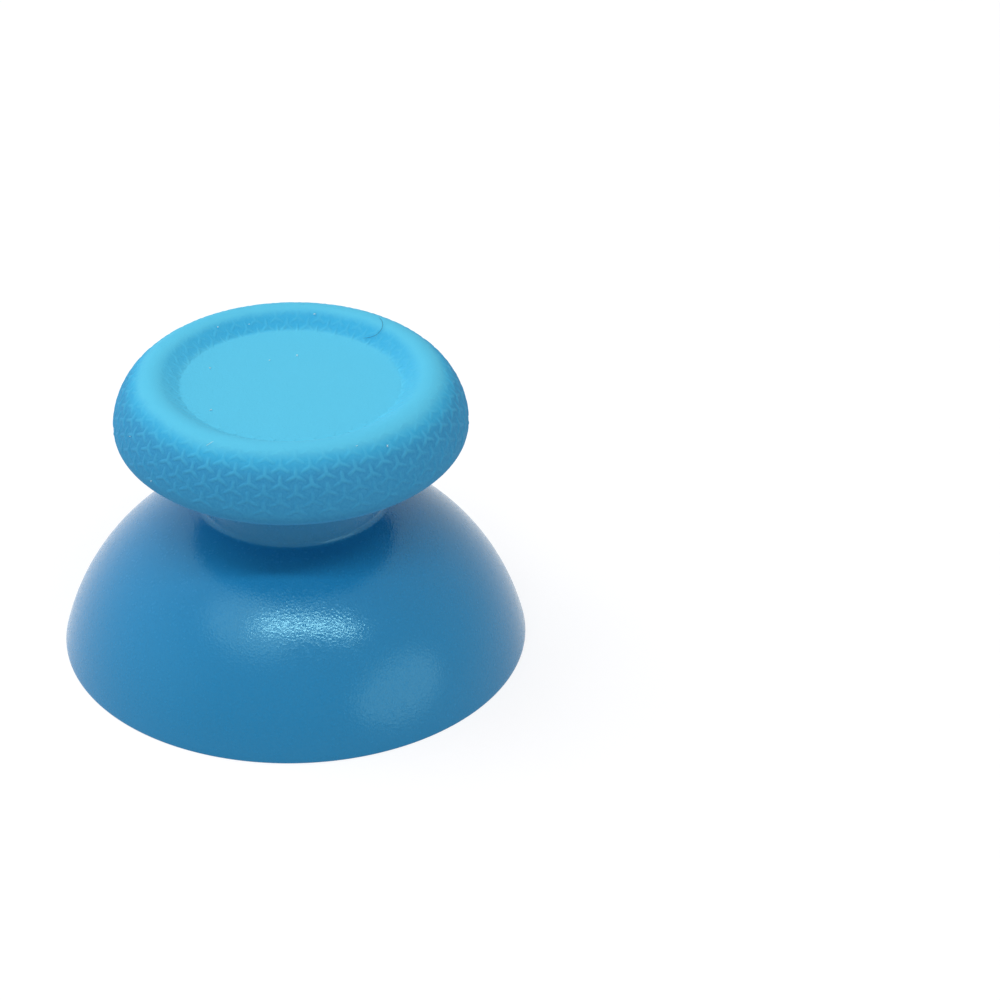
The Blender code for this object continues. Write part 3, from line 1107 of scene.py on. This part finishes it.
class CAP_OT_lint(bpy.types.Operator):
    """Lay a few specks of lint, a short white fibre and a dark curled one on the grip"""

    bl_idname = "thumbstick_cap.lint"
    bl_label = "Lint"

    def execute(self, context):
        scene = context.scene
        m, g, finish = scene.cap_moulding, scene.cap_grip, scene.cap_finish
        draw = random.Random(7)
        white = fibre_material("white_lint", finish.lint, 0.9)
        dark = fibre_material("dark_hair", finish.hair, 0.5)

        tangles = []
        for along, degrees, size in SPECKS:
            middle = on_grip(m, g, along * MM, radians(degrees), 0.05 * MM)
            for _ in range(2):
                points = []
                for _ in range(6):
                    step = Vector([draw.uniform(-0.5, 0.5) for _ in range(3)])
                    step.z *= 0.35
                    points.append(middle + step * size * MM)
                tangles.append(thread(points, 0.024 * MM))
        pieces = [joined("lint_specks", tangles, white)]

        line = [on_grip(m, g, s * MM, radians(t), 0.12 * MM) for s, t in FIBRE]
        pieces.append(joined("lint_fibre", [thread(line, 0.025 * MM)], white))
        line = [on_grip(m, g, s * MM, radians(t), 0.09 * MM) for s, t in HAIR]
        pieces.append(joined("stray_hair", [thread(line, 0.022 * MM)], dark))
        for piece in pieces:
            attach(piece, "root")
        return {"FINISHED"}


# ---------------------------------------------------------------- stage


# Name, place, width and height in metres, power at a level of 1, roll in degrees, and
# whether reflections show it. The strip and the patch make the two highlights of the skirt.
LAMPS = (
    ("key", (-0.245, 0.172, 0.400), (0.50, 0.50), 3.0, 0.0, False),
    ("strip", (0.052, -0.206, 0.393), (0.42, 0.038), 3.0, -11.5, True),
    ("fill", (-0.483, 0.0, 0.170), (0.90, 0.34), 3.0, 0.0, False),
    ("side", (0.330, 0.080, 0.330), (0.40, 0.40), 3.0, 0.0, False),
    ("glow", (-0.150, -0.200, 0.380), (0.36, 0.22), 1.0, 0.0, True),
    ("patch", (0.380, -0.252, 0.130), (0.40, 0.24), 1.0, 0.0, True),
)
LAMP_TARGET = (0.0, 0.0, 10 * MM)


def lamp(name, place, size, power, roll, mirrored):
    """A flat lamp that looks at the middle of the cap."""
    data = bpy.data.lights.new(name, "AREA")
    data.shape = "ELLIPSE"
    data.size, data.size_y = size
    data.energy = power
    holder = bpy.data.objects.new(name, data)
    holder.location = place
    look = Vector(LAMP_TARGET) - Vector(place)
    turn = look.to_track_quat("-Z", "Y") @ Quaternion((0, 0, 1), roll)
    holder.rotation_euler = turn.to_euler()
    holder.visible_glossy = mirrored
    bpy.context.scene.collection.objects.link(holder)


def camera(sizes):
    """The camera at the photograph's place and angle."""
    forward = Vector((sin(sizes.yaw) * cos(sizes.pitch), cos(sizes.yaw) * cos(sizes.pitch),
                      sin(sizes.pitch)))
    right = forward.cross(Vector((0, 0, 1))).normalized()
    up = right.cross(forward)
    across = right * cos(sizes.roll) + up * sin(sizes.roll)
    upright = up * cos(sizes.roll) - right * sin(sizes.roll)
    data = bpy.data.cameras.new("camera")
    data.lens = sizes.lens
    data.sensor_width = 36.0
    data.clip_start, data.clip_end = 0.005, 10.0
    holder = bpy.data.objects.new("camera", data)
    bpy.context.scene.collection.objects.link(holder)
    turn = Matrix((across, upright, -forward)).transposed().to_4x4()
    place = Matrix.Translation((sizes.camera_x, sizes.camera_y, sizes.camera_z))
    holder.matrix_world = place @ turn
    bpy.context.scene.camera = holder


def sky(sizes):
    """Even light from all round, white behind the cap."""
    world = bpy.data.worlds.new("studio")
    world.use_nodes = True
    board = Board(world.node_tree)
    seen = background_rays(board)
    light = board.node("ShaderNodeBackground", None,
                       {"Color": (1.0, 1.0, 1.0, 1.0),
                        "Strength": seen + (1 - seen) * sizes.sky})
    board.node("ShaderNodeOutputWorld", None, {"Surface": light})
    bpy.context.scene.world = world


class CAP_OT_stage(bpy.types.Operator):
    """Set up the floor, the lamps and the camera"""

    bl_idname = "thumbstick_cap.stage"
    bl_label = "Stage"

    def execute(self, context):
        scene = context.scene
        sizes = scene.cap_stage
        bm = bmesh.new()
        bmesh.ops.create_grid(bm, x_segments=4, y_segments=4, size=sizes.floor / 2)
        new_piece("floor", mesh_from("floor", bm), [floor_material(sizes)])
        for name, place, size, power, roll, mirrored in LAMPS:
            level = getattr(sizes, name)
            lamp(name, place, size, power * level, radians(roll), mirrored)
        sky(sizes)
        camera(sizes)
        scene.view_settings.view_transform = "Standard"
        return {"FINISHED"}


# ---------------------------------------------------------------- panel and registration


STEPS = (CAP_OT_moulding, CAP_OT_grip, CAP_OT_pattern, CAP_OT_lint, CAP_OT_stage)


class CAP_PT_panel(bpy.types.Panel):
    """Sizes, colours and steps of the cap"""

    bl_idname = "CAP_PT_panel"
    bl_label = "Thumbstick cap"
    bl_space_type = "VIEW_3D"
    bl_region_type = "UI"
    bl_category = "Thumbstick cap"

    def draw(self, context):
        for step in STEPS:
            self.layout.operator(step.bl_idname)
        for holder, _ in GROUPS:
            box = self.layout.box()
            group = getattr(context.scene, holder)
            for name in group.bl_rna.properties.keys():
                if name not in ("rna_type", "name"):
                    box.prop(group, name)


GROUPS = (("cap_moulding", MouldingSizes), ("cap_grip", GripSizes),
          ("cap_pattern", PatternSizes), ("cap_finish", Finish), ("cap_stage", StageSizes))


def register():
    for holder, group in GROUPS:
        bpy.utils.register_class(group)
        setattr(bpy.types.Scene, holder, PointerProperty(type=group))
    for item in (*STEPS, CAP_PT_panel):
        bpy.utils.register_class(item)


def unregister():
    for item in reversed((*STEPS, CAP_PT_panel)):
        bpy.utils.unregister_class(item)
    for holder, group in reversed(GROUPS):
        delattr(bpy.types.Scene, holder)
        bpy.utils.unregister_class(group)


def main():
    register()
    bpy.ops.thumbstick_cap.moulding()
    bpy.ops.thumbstick_cap.grip()
    bpy.ops.thumbstick_cap.pattern()
    bpy.ops.thumbstick_cap.lint()
    bpy.ops.thumbstick_cap.stage()


if __name__ == "__main__":
    main()
